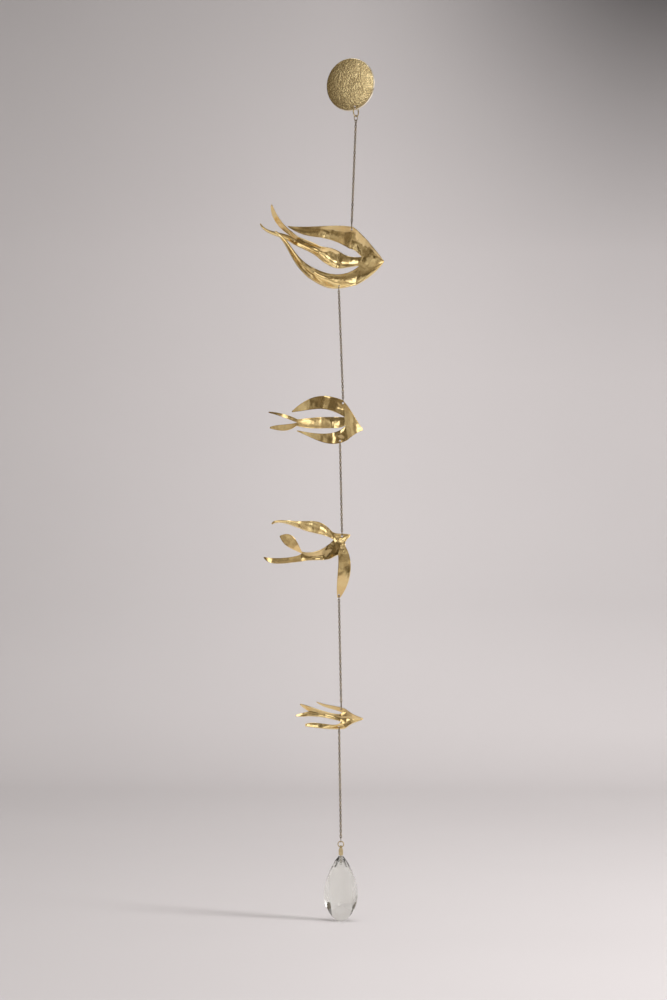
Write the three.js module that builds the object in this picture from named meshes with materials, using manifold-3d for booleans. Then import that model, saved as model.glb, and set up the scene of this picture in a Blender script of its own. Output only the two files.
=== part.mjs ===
// A hanging suncatcher: a hammered brass disc, four swallows cut and bent from brass sheet on a fine
// chain, and a faceted crystal drop. Millimetres, +X to the right, +Y away from the viewer, +Z up.
// The origin is the middle of the disc's flat back, where the suncatcher is fixed.
import * as THREE from "three";
import { ConvexGeometry } from "three/addons/geometries/ConvexGeometry.js";
import { mergeVertices } from "three/addons/utils/BufferGeometryUtils.js";
import Module from "manifold-3d";

const wasm = await Module();
wasm.setup();

// Driving dimensions
const DISC = { radius: 20.4, thickness: 1.8, turn: 26, flatRadius: 12, dome: 1.0, dish: 0.3 };
const DISC_EDGE = { width: 1.2, bevel: 0.35 };
const DISC_HOLE = { radius: 1.3, down: 17.9, right: 3.8 };
const DISC_RING = { radius: 3.5, wire: 1.0, turn: 56, tilt: 22 };
const DROP_RING = { radius: 2.2, wire: 0.8 };
const LINK = { pitch: 2.0, width: 2.0, thickness: 0.9, neck: 0.9 };
const END_LINK = { length: 4.6, width: 3.6, wire: 0.6 };
const SHEET = 1.0;
const SHEET_HOLE = { radius: 0.85, inset: 1.8 };
const BAIL = { strip: 0.5, room: 0.85, slit: 0.3, topWidth: 1.9, width: 3.6, height: 6.6 };
const PEG = { radius: 0.45, length: 6.5 };
const CRYSTAL = { height: 50, width: 25.8, depth: 15, bore: 0.8 };
const GAP = 0.3;

// How far each chain drops between the two places that it joins, and how far it leans to the right
const CHAIN_1 = { drop: 86.7, lean: -3.2 };
const CHAIN_2 = { drop: 89.9, lean: 3.2 };
const CHAIN_3 = { drop: 73.3, lean: 1.5 };
const CHAIN_4 = { drop: 88.1, lean: 1.6 };
const CHAIN_5 = { drop: 88.3, lean: 1.5 };

const BRASS = new THREE.MeshStandardMaterial({ color: 0xbe9b50, roughness: 0.25, metalness: 1 });
const HAMMERED_BRASS = new THREE.MeshStandardMaterial({ color: 0x967d4b, roughness: 0.45, metalness: 1 });
const CLEAR_CRYSTAL = new THREE.MeshStandardMaterial({ color: 0xdcd9d4, roughness: 0.02, metalness: 0 });

// Each swallow is one sheet. Its points are [behind the beak, above the beak] in hundredths of its
// length. A stage is a stretch of sheet between an upper and a lower edge, each a cubic curve given by
// its two handles and its end. near is how far the two ends stand towards the viewer, cup how far the
// middle of the end row does beyond them, and bow how far the middle of the stage does.
// The head's end row runs through the two notches between the wing, the body and the lower wing, and
// fork is the share of the body's end row that the upper tail point takes.
const SWALLOW_1 = {
  length: 96,
  notches: [[18.1, 3.6], [20.1, -3.6]],
  fork: 0.3,
  hangHole: [25.9, 25.1],
  chainHole: [36.2, -20.5],
  head: {
    upper: [[4.5, 6.1], [9.5, 11.9], [14.5, 17.6]],
    lower: [[5.8, -8.2], [13.6, -15.0], [22.6, -19.4]],
    near: [6, 6], cup: -5, bow: 1,
  },
  wing: [
    {
      upper: [[17.9, 20.7], [21.0, 24.3], [25.0, 26.6]],
      lower: [[21.8, 7.1], [22.1, 8.7], [27.8, 9.6]],
      near: [10, 6], cup: -1.5, bow: 0,
    },
    {
      upper: [[40.0, 29.4], [60.6, 25.6], [77.3, 28.4]],
      lower: [[49.6, 23.7], [58.7, 14.3], [76.7, 27.4]],
      near: [2, 2], cup: 0, bow: 2,
    },
  ],
  body: [
    {
      upper: [[36.6, 2.6], [31.4, 11.5], [50.6, 11.5]],
      lower: [[35.9, -4.7], [38.4, -8.8], [52.6, 3.0]],
      near: [2, 2], cup: -2.5, bow: -4,
    },
    {
      upper: [[56.7, 14.7], [62.8, 17.8], [69.1, 20.5]],
      lower: [[58.7, 8.3], [66.1, 10.6], [72.7, 14.8]],
      near: [-8, -8], cup: -2, bow: 2,
    },
  ],
  tail: [
    {
      upper: [[79.9, 29.4], [84.0, 31.9], [89.9, 45.5]],
      lower: [[79.9, 22.8], [92.4, 33.3], [90.7, 44.9]],
      near: [4, 4], cup: 0, bow: -2,
    },
    {
      upper: [[82.9, 26.8], [92.8, 22.9], [99.5, 32.2]],
      lower: [[83.0, 22.5], [96.2, 22.2], [100.3, 31.6]],
      near: [-14, -14], cup: 0, bow: 0,
    },
  ],
  lowerWing: [
    {
      upper: [[29.3, -12.5], [41.7, -12.0], [53.5, -6.5]],
      lower: [[40.0, -24.0], [45.8, -23.7], [60.7, -13.2]],
      near: [0, 6], cup: -2.5, bow: 2,
    },
    {
      upper: [[72.2, 0.3], [73.8, 16.9], [87.0, 24.0]],
      lower: [[75.7, 0.0], [75.4, 12.5], [87.6, 23.0]],
      near: [8, 8], cup: 0, bow: -3,
    },
  ],
};

const SWALLOW_2 = {
  length: 72.4,
  notches: [[19.0, 13.4], [17.7, 4.6]],
  fork: 0.5,
  hangHole: [20.8, 28.4],
  chainHole: [24.0, -12.1],
  head: {
    upper: [[7.6, 10.4], [12.1, 22.6], [21.2, 31.5]],
    lower: [[5.9, -2.7], [11.0, -6.7], [15.9, -11.0]],
    near: [3, 2], cup: 0, bow: 1,
  },
  wing: [
    {
      upper: [[43.8, 40.7], [58.3, 36.0], [75.6, 19.8]],
      lower: [[41.7, 27.2], [50.3, 21.4], [75.0, 18.7]],
      near: [-4, -4], cup: 0, bow: -2,
    },
  ],
  body: [
    {
      upper: [[26.7, 13.6], [34.9, 13.7], [43.2, 13.5]],
      lower: [[24.7, 0.3], [35.1, 2.0], [43.6, 1.4]],
      near: [0, 1], cup: -1.5, bow: 0,
    },
    {
      upper: [[51.9, 13.3], [60.5, 12.1], [69.0, 10.9]],
      lower: [[53.3, 1.2], [60.8, 1.2], [70.1, 4.0]],
      near: [6, 7], cup: -1, bow: 0,
    },
  ],
  tail: [
    {
      upper: [[78.6, 15.8], [89.1, 18.6], [99.8, 19.5]],
      lower: [[79.7, 11.1], [89.6, 15.6], [100.0, 18.2]],
      near: [-6, -6], cup: 0, bow: 2,
    },
    {
      upper: [[79.1, 4.8], [89.2, 6.0], [98.6, 2.8]],
      lower: [[79.4, -3.4], [87.9, -1.9], [98.5, 1.2]],
      near: [8, 8], cup: 0, bow: 1,
    },
  ],
  lowerWing: [
    {
      upper: [[27.4, -8.7], [55.3, -3.3], [69.7, -0.5]],
      lower: [[35.3, -21.9], [52.2, -8.6], [70.1, -1.7]],
      near: [-3, -3], cup: 0, bow: -3,
    },
  ],
};

const SWALLOW_3 = {
  length: 66.6,
  notches: [[18.7, -5.3], [13.6, -22.5]],
  fork: 0.2,
  hangHole: [9.2, -1.0],
  chainHole: [12.7, -69.0],
  head: {
    upper: [[8.1, 2.9], [13.8, 0.4], [20.2, 4.0]],
    lower: [[3.1, -5.4], [6.9, -6.8], [5.3, -12.5]],
    near: [2, 6], cup: -2, bow: 1,
  },
  wing: [
    {
      upper: [[33.6, 18.1], [38.0, 16.7], [57.2, 16.4]],
      lower: [[30.4, 2.7], [45.5, 1.7], [57.8, 8.6]],
      near: [9, 14], cup: -1.5, bow: -1,
    },
    {
      upper: [[63.8, 15.9], [88.6, 20.8], [90.5, 13.6]],
      lower: [[66.7, 11.2], [81.0, 19.6], [89.4, 12.6]],
      near: [20, 20], cup: 0, bow: 2,
    },
  ],
  body: [
    {
      upper: [[22.6, -9.9], [27.7, -12.8], [32.4, -16.4]],
      lower: [[22.7, -26.2], [21.3, -28.4], [31.4, -28.7]],
      near: [-4, -6], cup: -2.5, bow: -1,
    },
    {
      upper: [[40.2, -20.0], [47.4, -21.6], [55.8, -19.2]],
      lower: [[40.3, -28.8], [48.3, -28.7], [57.0, -30.8]],
      near: [-9, -9], cup: -0.5, bow: 1,
    },
  ],
  tail: [
    {
      upper: [[61.5, -8.2], [65.2, 6.9], [81.2, -0.6]],
      lower: [[68.8, -14.2], [75.4, -15.3], [81.4, -1.8]],
      near: [-3, -3], cup: 0, bow: 2,
    },
    {
      upper: [[63.2, -27.0], [92.5, -28.0], [99.9, -25.4]],
      lower: [[75.5, -32.5], [93.5, -37.0], [99.9, -26.8]],
      near: [-18, -18], cup: 0, bow: 2,
    },
  ],
  lowerWing: [
    {
      upper: [[12.6, -38.9], [16.6, -55.4], [14.6, -71.9]],
      lower: [[-5.8, -30.8], [-0.9, -55.7], [11.4, -72.1]],
      near: [0, 0], cup: 0, bow: 6,
    },
  ],
};

const SWALLOW_4 = {
  length: 51.8,
  notches: [[30.5, 9.5], [33.0, -3.6]],
  fork: 0.5,
  hangHole: [32.5, 15.2],
  chainHole: [35.7, -11.2],
  head: {
    upper: [[8.6, 4.0], [17.2, 8.6], [25.3, 14.6]],
    lower: [[12.4, -4.7], [15.3, -4.2], [25.7, -12.9]],
    near: [5, 8], cup: -6, bow: 2,
  },
  wing: [
    {
      upper: [[38.8, 20.6], [53.2, 20.2], [68.9, 27.2]],
      lower: [[40.1, 15.8], [56.5, 16.4], [68.8, 25.8]],
      near: [16, 16], cup: 0, bow: 1,
    },
  ],
  body: [
    {
      upper: [[36.0, 3.5], [57.0, 9.5], [78.5, 17.2]],
      lower: [[42.0, -1.5], [58.0, 4.0], [82.9, 3.4]],
      near: [-10, -10], cup: -2, bow: 0,
    },
  ],
  tail: [
    {
      upper: [[83.7, 19.2], [88.9, 20.9], [93.6, 22.2]],
      lower: [[85.9, 13.2], [91.1, 17.6], [93.6, 20.6]],
      near: [-6, -6], cup: 0, bow: 0,
    },
    {
      upper: [[86.6, 8.6], [93.3, 7.0], [100.0, 4.8]],
      lower: [[88.1, 2.4], [94.8, 1.6], [100.0, 2.8]],
      near: [-16, -16], cup: 0, bow: 0,
    },
  ],
  lowerWing: [
    {
      upper: [[36.0, -16.3], [69.9, 0.8], [85.7, -7.0]],
      lower: [[35.1, -15.6], [75.2, -11.9], [85.7, -9.3]],
      near: [12, 14], cup: 0, bow: 3,
    },
  ],
};

// The crystal's facet corners: where they lie round a level section, as shares of its half width and
// half depth, and the sections' places, as [share of the height from the top, width, depth]
const FACET_CORNERS = [
  [0.6, -1], [1, -0.35], [1, 0.35], [0.62, 0.84], [0, 1], [-0.62, 0.84], [-1, 0.35], [-1, -0.35], [-0.6, -1],
];
const FACET_LEVELS = [
  [0, 0.13, 0.2], [0.1, 0.36, 0.46], [0.28, 0.74, 0.84], [0.48, 0.97, 1], [0.69, 1, 1],
  [0.84, 0.8, 0.78], [0.94, 0.48, 0.46], [1, 0.08, 0.08],
];

// How many sides the round stretches have
const SIDES = { disc: 48, hole: 12, discRing: 16, discRingWire: 6, dropRing: 12, dropRingWire: 5 };
const SMALL_SIDES = { endLink: 8, endLinkWire: 4, fold: 8, peg: 10 };

// How finely a sheet is divided: rows along each stage and cells across the wing, body and lower wing
const ROWS = { head: 5, wing: 7, body: 5, tail: 6, lowerWing: 7 };
const ACROSS = { wing: 3, body: 4, lowerWing: 3 };
const BEAK_WIDTH = 1.2;

const radians = THREE.MathUtils.degToRad;

// The solid of a geometry, for joining and cutting
function solidOf(geometry) {
  const bare = geometry.clone();
  bare.deleteAttribute("normal");
  bare.deleteAttribute("uv");
  const merged = mergeVertices(bare, 1e-4);
  const mesh = new wasm.Mesh({
    numProp: 3,
    vertProperties: merged.attributes.position.array,
    triVerts: new Uint32Array(merged.index.array),
  });
  return new wasm.Manifold(mesh);
}

function geometryOf(solid) {
  const mesh = solid.getMesh();
  const geometry = new THREE.BufferGeometry();
  geometry.setAttribute("position", new THREE.BufferAttribute(mesh.vertProperties, 3));
  geometry.setIndex(new THREE.BufferAttribute(mesh.triVerts, 1));
  geometry.computeVertexNormals();
  return geometry;
}

function piece(name, geometry, material) {
  const mesh = new THREE.Mesh(geometry, material);
  mesh.name = name;
  return mesh;
}

// A straight round drill through a point
function drill(centre, direction, radius, length) {
  const rod = new THREE.CylinderGeometry(radius, radius, length, SIDES.hole);
  const up = new THREE.Vector3(0, 1, 0);
  rod.applyQuaternion(new THREE.Quaternion().setFromUnitVectors(up, direction));
  return rod.translate(centre.x, centre.y, centre.z);
}

// A ring of wire standing upright, lengthened by a straight stretch. plane is the level direction that
// it lies along.
function ring(centre, radius, wire, plane, straight, around, section) {
  const torus = new THREE.TorusGeometry(radius, wire / 2, section, around);
  const place = torus.attributes.position;
  for (let i = 0; i < place.count; i += 1) {
    const side = Math.abs(place.getY(i)) < wire / 2 ? 0 : Math.sign(place.getY(i));
    place.setY(i, place.getY(i) + (side * straight) / 2);
  }
  const level = plane.clone().setZ(0).normalize();
  const up = new THREE.Vector3(0, 0, 1);
  const out = new THREE.Vector3().crossVectors(level, up);
  torus.applyMatrix4(new THREE.Matrix4().makeBasis(level, up, out));
  return torus.translate(centre.x, centre.y, centre.z);
}

// The last link of a chain, above (way 1) or below (way -1) the wire or the hole that holds it, and the
// point where the chain's other links begin. A place has its point, the level direction of the link
// there, how far beyond the point the link reaches, and the level shift that clears a tilted sheet.
function endLink(place, way) {
  const straight = END_LINK.length - END_LINK.width;
  const half = (END_LINK.length - END_LINK.wire) / 2;
  const centre = place.point.clone().addScaledVector(place.shift, way);
  centre.z += way * (half - place.reach);
  const radius = (END_LINK.width - END_LINK.wire) / 2;
  const far = centre.clone();
  far.z += way * half;
  const { endLink: around, endLinkWire: section } = SMALL_SIDES;
  return { far, geometry: ring(centre, radius, END_LINK.wire, place.plane, straight, around, section) };
}

// The links of a chain, fused: each link is widest at its middle, and every second one is turned
function links(from, to) {
  const along = to.clone().sub(from);
  const count = Math.round(along.length() / LINK.pitch);
  const sections = [];
  for (let i = 0; i <= 2 * count; i += 1) {
    const turned = Math.floor(i / 2) % 2 === 1;
    const middle = i % 2 === 1;
    const wide = middle ? LINK.width / 2 : LINK.neck / 2;
    const thin = middle ? LINK.thickness / 2 : LINK.neck / 2;
    const halfX = turned ? thin : wide;
    const halfY = turned ? wide : thin;
    const centre = from.clone().addScaledVector(along, i / (2 * count));
    sections.push([
      [centre.x + halfX, centre.y, centre.z],
      [centre.x, centre.y + halfY, centre.z],
      [centre.x - halfX, centre.y, centre.z],
      [centre.x, centre.y - halfY, centre.z],
    ]);
  }
  const index = [0, 3, 2, 0, 2, 1];
  for (let i = 0; i < sections.length - 1; i += 1) {
    for (let side = 0; side < 4; side += 1) {
      const a = 4 * i + side;
      const b = 4 * i + ((side + 1) % 4);
      index.push(a, b, b + 4, a, b + 4, a + 4);
    }
  }
  const last = 4 * (sections.length - 1);
  index.push(last, last + 1, last + 2, last, last + 2, last + 3);
  if (along.z < 0) index.reverse();
  const geometry = new THREE.BufferGeometry();
  geometry.setAttribute("position", new THREE.Float32BufferAttribute(sections.flat(2), 3));
  geometry.setIndex(index);
  return geometry;
}

// A chain from the place that it hangs on to the place that hangs on it
function chain(name, top, bottom) {
  const upper = endLink(top, -1);
  const lower = endLink(bottom, 1);
  const ends = solidOf(upper.geometry).add(solidOf(lower.geometry));
  return piece(name, geometryOf(solidOf(links(upper.far, lower.far)).add(ends)), BRASS);
}

// The middle surface of a swallow's sheet, as points [behind, near, above] and triangles
function sheetOf(swallow) {
  const points = [];
  const triangles = [];
  const flat = ([behind, above]) => new THREE.Vector2(behind, above);

  function row(count, place) {
    return Array.from({ length: count + 1 }, (_, j) => points.push(place(j)) - 1);
  }

  // endShares are where the end row's points lie between its edges, and bend how far they stand off
  // the straight line there
  function addStage(stage, start, rows, endShares, bend) {
    const count = start.length - 1;
    const first = start.map((i) => points[i].clone());
    const ends = [first[0], first[count]].map((p) => new THREE.Vector2(p.x, p.z));
    const upper = new THREE.CubicBezierCurve(ends[0], ...stage.upper.map(flat));
    const lower = new THREE.CubicBezierCurve(ends[1], ...stage.lower.map(flat));
    const width = ends[0].distanceTo(ends[1]);
    const startShares = first.map((p) => new THREE.Vector2(p.x, p.z).distanceTo(ends[0]) / width);
    let last = start;
    for (let r = 1; r <= rows; r += 1) {
      const t = r / rows;
      const a = upper.getPoint(t);
      const b = lower.getPoint(t);
      const next = row(count, (j) => {
        const end = endShares ? endShares[j] : j / count;
        const share = THREE.MathUtils.lerp(startShares[j], end, t);
        const place = a.clone().lerp(b, share);
        if (bend) place.addScaledVector(bend[j], t * t);
        const middle = 4 * end * (1 - end);
        const far = THREE.MathUtils.lerp(stage.near[0], stage.near[1], end) + stage.cup * middle;
        const near = THREE.MathUtils.lerp(first[j].y, far, t) + stage.bow * 4 * t * (1 - t);
        return new THREE.Vector3(place.x, near, place.y);
      });
      for (let j = 0; j < count; j += 1) {
        triangles.push([last[j], next[j], next[j + 1]], [last[j], next[j + 1], last[j + 1]]);
      }
      last = next;
    }
    return last;
  }

  const limb = (stages, start, rows, endShares) =>
    stages.reduce((last, stage) => addStage(stage, last, rows, endShares), start);

  const count = ACROSS.wing + ACROSS.body + ACROSS.lowerWing;
  const half = (50 * BEAK_WIDTH) / swallow.length;
  const beak = row(count, (j) => new THREE.Vector3(0, 0, half * (1 - (2 * j) / count)));
  const corners = [swallow.head.upper[2], ...swallow.notches, swallow.head.lower[2]].map(flat);
  const neckline = [corners[0]];
  Object.values(ACROSS).forEach((cells, k) => {
    for (let j = 1; j <= cells; j += 1) neckline.push(corners[k].clone().lerp(corners[k + 1], j / cells));
  });
  const chord = corners[3].clone().sub(corners[0]);
  const shares = neckline.map((p) => p.clone().sub(corners[0]).dot(chord) / chord.lengthSq());
  const bend = neckline.map((p, j) => p.clone().sub(corners[0]).addScaledVector(chord, -shares[j]));
  const shoulder = addStage(swallow.head, beak, ROWS.head, shares, bend);
  const bodyAt = ACROSS.wing;
  const lowerAt = ACROSS.wing + ACROSS.body;
  limb(swallow.wing, shoulder.slice(0, bodyAt + 1), ROWS.wing);
  limb(swallow.lowerWing, shoulder.slice(lowerAt), ROWS.lowerWing);
  const fork = ACROSS.body / 2;
  const split = Array.from({ length: ACROSS.body + 1 }, (_, j) => {
    const beyond = j / fork - 1;
    return beyond < 0 ? swallow.fork * (1 + beyond) : THREE.MathUtils.lerp(swallow.fork, 1, beyond);
  });
  const rump = limb(swallow.body, shoulder.slice(bodyAt, lowerAt + 1), ROWS.body, split);
  limb([swallow.tail[0]], rump.slice(0, fork + 1), ROWS.tail);
  limb([swallow.tail[1]], rump.slice(fork), ROWS.tail);
  return { points, triangles };
}

// The point of the sheet that lies at a given place in the front view, and the sheet's normal there
function onSheet(sheet, [behind, above]) {
  const target = new THREE.Vector3(behind, 0, above);
  const inPlane = (p) => new THREE.Vector3(p.x, 0, p.z);
  for (const corners of sheet.triangles) {
    const solid = new THREE.Triangle(...corners.map((i) => sheet.points[i]));
    const seen = new THREE.Triangle(...corners.map((i) => inPlane(sheet.points[i])));
    const weights = seen.getBarycoord(target, new THREE.Vector3());
    if (weights && Math.min(weights.x, weights.y, weights.z) >= -1e-9) {
      const point = new THREE.Vector3();
      point.addScaledVector(solid.a, weights.x);
      point.addScaledVector(solid.b, weights.y);
      point.addScaledVector(solid.c, weights.z);
      return { point, normal: solid.getNormal(new THREE.Vector3()) };
    }
  }
  throw new Error("a hole lies off its sheet");
}

// A sheet given its thickness, as a closed solid
function thicken(sheet, thickness) {
  const middle = new THREE.BufferGeometry().setFromPoints(sheet.points);
  middle.setIndex(sheet.triangles.flat());
  middle.computeVertexNormals();
  const normal = middle.attributes.normal;
  const place = middle.attributes.position;
  const count = place.count;
  const corners = [];
  [0.5, -0.5].forEach((side) => {
    for (let i = 0; i < count; i += 1) {
      const p = new THREE.Vector3().fromBufferAttribute(place, i);
      const n = new THREE.Vector3().fromBufferAttribute(normal, i);
      corners.push(...p.addScaledVector(n, side * thickness));
    }
  });
  const directed = new Set(sheet.triangles.flatMap(([a, b, c]) => [`${a},${b}`, `${b},${c}`, `${c},${a}`]));
  const index = sheet.triangles.flat();
  sheet.triangles.forEach(([a, b, c]) => index.push(a + count, c + count, b + count));
  directed.forEach((edge) => {
    const [a, b] = edge.split(",").map(Number);
    if (!directed.has(`${b},${a}`)) index.push(a, a + count, b, b, a + count, b + count);
  });
  const geometry = new THREE.BufferGeometry();
  geometry.setAttribute("position", new THREE.Float32BufferAttribute(corners, 3));
  geometry.setIndex(index);
  return geometry;
}

// A swallow hung by its upper hole from a point, and the place where its own chain hangs
function hangSwallow(name, swallow, hang) {
  const scale = swallow.length / 100;
  const sheet = sheetOf(swallow);
  const toWorld = new THREE.Matrix4().makeScale(-scale, -scale, scale);
  const hole = onSheet(sheet, swallow.hangHole).point.applyMatrix4(toWorld);
  toWorld.premultiply(new THREE.Matrix4().makeTranslation(hang.clone().sub(hole)));
  sheet.points.forEach((p) => p.applyMatrix4(toWorld));
  const inMm = ([behind, above]) => {
    const p = new THREE.Vector3(behind, 0, above).applyMatrix4(toWorld);
    return [p.x, p.z];
  };
  const top = onSheet(sheet, inMm(swallow.hangHole));
  const bottom = onSheet(sheet, inMm(swallow.chainHole));
  let solid = solidOf(thicken(sheet, SHEET));
  [top, bottom].forEach(({ point, normal }) => {
    solid = solid.subtract(solidOf(drill(point, normal, SHEET_HOLE.radius, 4 * SHEET)));
  });
  return { mesh: piece(name, geometryOf(solid), BRASS), hangs: inHole(top), carries: inHole(bottom) };
}

// The place of a link that passes through a hole in a tilted sheet, and stays midway off its edge
function inHole({ point, normal }) {
  const plane = normal.clone().setZ(0).normalize();
  const slope = -normal.z / Math.hypot(normal.x, normal.y);
  const shift = plane.clone().multiplyScalar((slope * SHEET_HOLE.inset) / 2);
  return { point, plane, reach: 0, shift };
}

// The disc: flat in the middle of its back, dished slightly forward towards the rim, domed in front
function discGeometry() {
  const { radius, thickness, flatRadius, dome, dish } = DISC;
  const { width, bevel } = DISC_EDGE;
  const inner = radius - width;
  const front = (r) => [r, -thickness - dome * (1 - (r / inner) ** 3)];
  const profile = [
    front(0), front(inner / 3), front(inner / 1.5), front(inner),
    [radius - bevel, -thickness + bevel], [radius, -thickness / 2], [radius - bevel, -dish - bevel],
    [inner, -dish], [flatRadius, 0], [0, 0],
  ];
  const disc = new THREE.LatheGeometry(profile.map(([r, y]) => new THREE.Vector2(r, y)), SIDES.disc);
  const hole = drill(discHole(), new THREE.Vector3(0, 1, 0), DISC_HOLE.radius, 4 * thickness);
  return geometryOf(solidOf(disc).subtract(solidOf(hole))).rotateZ(radians(-DISC.turn));
}

// The hole's centre in the disc's own frame, before its turn
function discHole() {
  return new THREE.Vector3(DISC_HOLE.right, -DISC.thickness / 2, -DISC_HOLE.down);
}

// The folded strip that hangs on the drop ring, and the peg below it that is set in the crystal
function bailGeometry(foldCentre) {
  const { strip, room, slit, topWidth, width, height } = BAIL;
  const foot = -height;
  const bend = foot / 3;
  const outline = new THREE.Shape();
  outline.absarc(0, 0, room + strip, 0, Math.PI, false);
  outline.lineTo(-room - strip, bend);
  outline.lineTo(-strip, foot);
  outline.lineTo(strip, foot);
  outline.lineTo(room + strip, bend);
  const opening = new THREE.Path();
  opening.absarc(0, 0, room, Math.PI, 0, true);
  opening.lineTo(room, bend);
  opening.lineTo(slit / 2, foot + 3 * strip);
  opening.lineTo(-slit / 2, foot + 3 * strip);
  opening.lineTo(-room, bend);
  outline.holes.push(opening);
  const extrusion = { depth: 1, bevelEnabled: false, curveSegments: SMALL_SIDES.fold };
  const loop = new THREE.ExtrudeGeometry(outline, extrusion);
  const place = loop.attributes.position;
  for (let i = 0; i < place.count; i += 1) {
    const share = THREE.MathUtils.clamp(place.getY(i) / bend, 0, 1);
    const across = THREE.MathUtils.lerp(topWidth, width, share) * (place.getZ(i) - 0.5);
    place.setXYZ(i, across, place.getX(i), place.getY(i));
  }
  const rod = new THREE.CylinderGeometry(PEG.radius, PEG.radius, PEG.length, SMALL_SIDES.peg);
  rod.rotateX(Math.PI / 2).translate(0, 0, foot + (strip - PEG.length) / 2);
  const joined = geometryOf(solidOf(loop).add(solidOf(rod)));
  return joined.translate(foldCentre.x, foldCentre.y, foldCentre.z);
}

// The crystal, with a bore in its top for the peg
function crystalGeometry(top) {
  const { height, width, depth, bore } = CRYSTAL;
  const corners = FACET_LEVELS.flatMap(([down, wide, deep]) =>
    FACET_CORNERS.map(([x, y]) => {
      return new THREE.Vector3((x * wide * width) / 2, (y * deep * depth) / 2, -down * height);
    }),
  );
  const boreDepth = PEG.length + 2 * GAP;
  const hole = drill(new THREE.Vector3(), new THREE.Vector3(0, 0, 1), bore, 2 * boreDepth);
  const cut = solidOf(new ConvexGeometry(corners)).subtract(solidOf(hole));
  return geometryOf(cut).translate(top.x, top.y, top.z);
}

// The hanging line, from the disc down
const group = new THREE.Group();
group.add(piece("disc", discGeometry(), HAMMERED_BRASS));

const upright = new THREE.Vector3(0, 0, 1);
const level = new THREE.Vector3(1, 0, 0);
const holeAt = discHole().applyAxisAngle(upright, radians(-DISC.turn));
const ringPlane = level.clone().applyAxisAngle(upright, radians(DISC_RING.turn));
const { radius: ringRadius, wire: ringWire } = DISC_RING;
const ringCentre = holeAt.clone().addScaledVector(ringPlane, ringRadius * Math.sin(radians(DISC_RING.tilt)));
ringCentre.z -= ringRadius * Math.cos(radians(DISC_RING.tilt));
const discRing = ring(ringCentre, ringRadius, ringWire, ringPlane, 0, SIDES.discRing, SIDES.discRingWire);
group.add(piece("disc_ring", discRing, BRASS));

// A chain's end link stands across the ring that it holds, clear of the wire
const across = (plane) => new THREE.Vector3(-plane.y, plane.x, 0);
const clearOf = (wire) => (wire + END_LINK.wire) / 2 + GAP;
const ringFoot = ringCentre.clone();
ringFoot.z -= ringRadius;
const noShift = new THREE.Vector3();
let held = { point: ringFoot, plane: across(ringPlane), reach: clearOf(ringWire), shift: noShift };

const swallows = [SWALLOW_1, SWALLOW_2, SWALLOW_3, SWALLOW_4];
const chains = [CHAIN_1, CHAIN_2, CHAIN_3, CHAIN_4, CHAIN_5];
const below = (point, { drop, lean }) => point.clone().add(new THREE.Vector3(lean, 0, -drop));
swallows.forEach((swallow, i) => {
  const bird = hangSwallow(`bird_${i + 1}`, swallow, below(held.point, chains[i]));
  group.add(chain(`chain_${i + 1}`, held, bird.hangs));
  group.add(bird.mesh);
  held = bird.carries;
});

const ringTop = below(held.point, chains.at(-1));
const lastRing = { point: ringTop, plane: across(level), reach: clearOf(DROP_RING.wire), shift: noShift };
group.add(chain(`chain_${chains.length}`, held, lastRing));

const { radius: dropRadius, wire: dropWire } = DROP_RING;
const dropRingCentre = ringTop.clone();
dropRingCentre.z -= dropRadius;
const dropRing = ring(dropRingCentre, dropRadius, dropWire, level, 0, SIDES.dropRing, SIDES.dropRingWire);
group.add(piece("drop_ring", dropRing, BRASS));

const fold = dropRingCentre.clone();
fold.z -= dropRadius;
group.add(piece("bail", bailGeometry(fold), BRASS));

const crystalTop = fold.clone();
crystalTop.z -= BAIL.height + GAP;
group.add(piece("crystal_drop", crystalGeometry(crystalTop), CLEAR_CRYSTAL));

export default group;
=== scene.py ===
"""A hanging suncatcher: a hammered brass disc, four swallows bent from brass sheet on a fine chain, and
a clear faceted drop. Sizes are in millimetres here and become metres as the pieces are placed."""

from math import cos, pi, radians, sin

import bpy
import numpy as np
from mathutils import Matrix, Vector, noise


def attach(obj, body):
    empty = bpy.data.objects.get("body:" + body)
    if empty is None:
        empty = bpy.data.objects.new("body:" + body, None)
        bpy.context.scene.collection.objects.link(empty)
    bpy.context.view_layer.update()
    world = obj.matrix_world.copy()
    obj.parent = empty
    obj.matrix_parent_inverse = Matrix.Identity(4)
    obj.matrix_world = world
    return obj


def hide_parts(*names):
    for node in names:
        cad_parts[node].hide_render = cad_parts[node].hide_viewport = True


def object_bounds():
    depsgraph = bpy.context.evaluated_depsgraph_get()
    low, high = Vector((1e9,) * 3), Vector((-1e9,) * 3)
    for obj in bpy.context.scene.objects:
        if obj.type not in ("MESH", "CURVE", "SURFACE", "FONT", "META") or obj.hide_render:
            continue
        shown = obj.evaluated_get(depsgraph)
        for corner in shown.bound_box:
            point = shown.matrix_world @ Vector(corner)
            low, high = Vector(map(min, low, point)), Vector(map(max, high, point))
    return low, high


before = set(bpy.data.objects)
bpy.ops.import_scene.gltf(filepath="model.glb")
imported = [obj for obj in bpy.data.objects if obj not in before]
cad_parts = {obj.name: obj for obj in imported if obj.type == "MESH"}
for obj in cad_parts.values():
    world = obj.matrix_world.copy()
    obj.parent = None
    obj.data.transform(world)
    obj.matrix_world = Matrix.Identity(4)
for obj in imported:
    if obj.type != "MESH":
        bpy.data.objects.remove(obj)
cad_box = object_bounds()

MM = 0.001
UPRIGHT = Vector((0, 0, 1))
LEVEL = Vector((1, 0, 0))
NO_SHIFT = Vector((0, 0, 0))

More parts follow.
